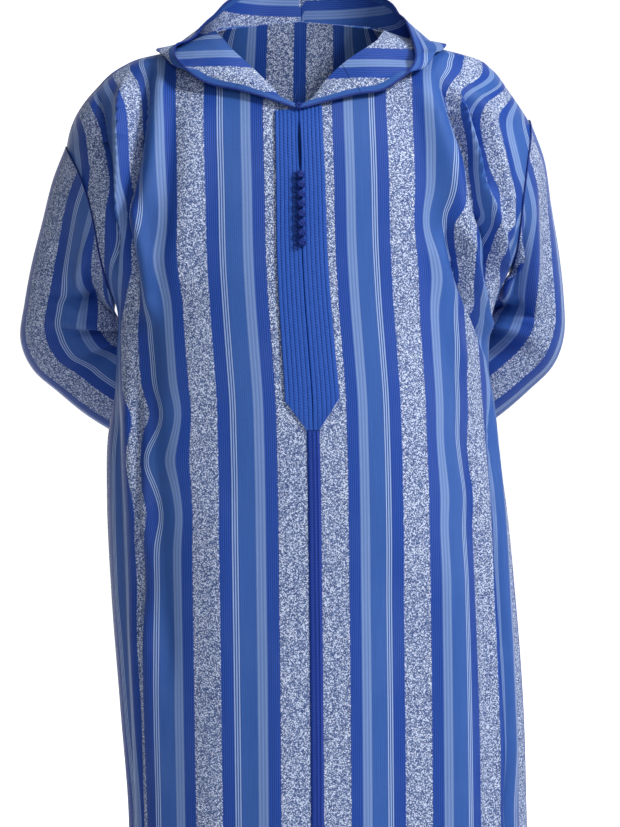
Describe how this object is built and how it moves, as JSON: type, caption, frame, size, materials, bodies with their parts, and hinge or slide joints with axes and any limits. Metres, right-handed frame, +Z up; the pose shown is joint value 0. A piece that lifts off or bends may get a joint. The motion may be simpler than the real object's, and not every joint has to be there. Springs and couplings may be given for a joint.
{
  "type": "djellaba robe",
  "caption": "Ankle-length hooded robe of blue striped cloth in its hollow worn form, sleeves behind the back, with a braided placket, knotted buttons and the hood laid back.",
  "frame": {"origin": "base of the neck, midway between the shoulders, where the wearer's shoulders carry the robe", "axes": "+Z up along the robe, -Y out of its front, +X to the wearer's left"},
  "size_m": [0.7408, 0.4337, 1.5071],
  "materials": {
    "striped_cloth": "woven stripes of speckled, satin and twill bands in blues",
    "royal_braid": "corded braid rows in royal blue",
    "knotted_braid": "hand-knotted braid buttons in royal blue"
  },
  "bodies": {
    "root": {"back": "striped_cloth", "right_front": "striped_cloth", "left_front": "striped_cloth", "right_sleeve": "striped_cloth", "left_sleeve": "striped_cloth", "hood": "striped_cloth", "right_hood_front": "striped_cloth", "left_hood_front": "striped_cloth", "right_braid_panel": "royal_braid", "left_braid_panel": "royal_braid", "centre_band": "royal_braid", "button_0": "knotted_braid", "button_1": "knotted_braid", "button_2": "knotted_braid", "button_3": "knotted_braid", "button_4": "knotted_braid", "button_5": "knotted_braid", "button_6": "knotted_braid", "button_7": "knotted_braid", "button_8": "knotted_braid"}
  },
  "joints": []
}
